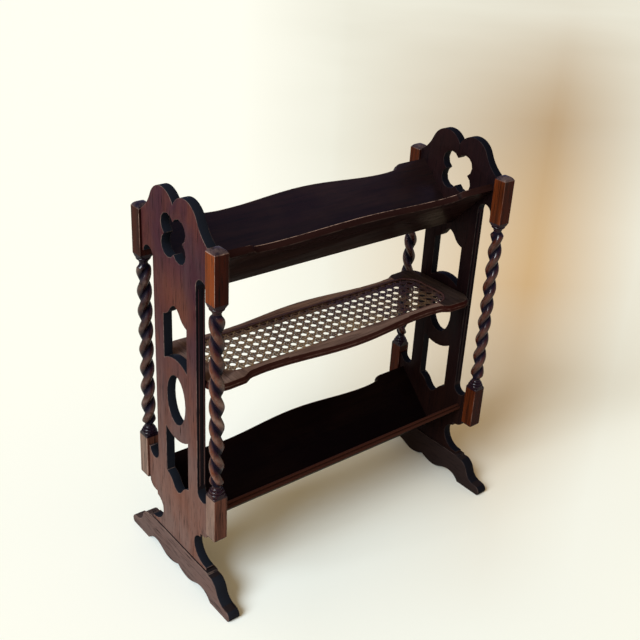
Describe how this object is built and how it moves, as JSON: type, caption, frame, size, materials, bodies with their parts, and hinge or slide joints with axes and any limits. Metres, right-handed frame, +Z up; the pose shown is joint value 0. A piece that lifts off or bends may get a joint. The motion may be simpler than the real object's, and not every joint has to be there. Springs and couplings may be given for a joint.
{
  "type": "canterbury bookcase",
  "caption": "Small free-standing bookcase with V troughs above and below a caned shelf, fretted end panels, barley-twist posts and sledge feet.",
  "frame": {"origin": "on the floor, midway between the feet from left to right and front to back", "axes": "+Z up, +X along the troughs to the right, -Y towards the front"},
  "size_m": [0.6238, 0.3246, 0.705],
  "materials": {
    "panel_wood": "polished",
    "post_wood": "polished",
    "board_wood": "polished",
    "shelf_wood": "satin",
    "cane": "satin",
    "dowel_wood": "bare"
  },
  "bodies": {
    "root": {"left_end_panel": "panel_wood", "right_end_panel": "panel_wood", "left_foot": "panel_wood", "right_foot": "panel_wood", "upper_trough_front_board": "board_wood", "upper_trough_back_board": "board_wood", "lower_trough_front_board": "board_wood", "lower_trough_back_board": "board_wood", "shelf_front_rail": "shelf_wood", "shelf_back_rail": "shelf_wood", "shelf_left_end_rail": "shelf_wood", "shelf_right_end_rail": "shelf_wood", "cane_panel": "cane", "cane_spline": "cane", "post_front_left": "post_wood", "post_front_right": "post_wood", "post_back_left": "post_wood", "post_back_right": "post_wood", "dowel_lower_back_left": "dowel_wood", "dowel_lower_back_right": "dowel_wood", "dowel_lower_front_left": "dowel_wood", "dowel_lower_front_right": "dowel_wood", "dowel_upper_back_left": "dowel_wood", "dowel_upper_back_right": "dowel_wood", "dowel_upper_front_left": "dowel_wood", "dowel_upper_front_right": "dowel_wood"}
  },
  "joints": []
}
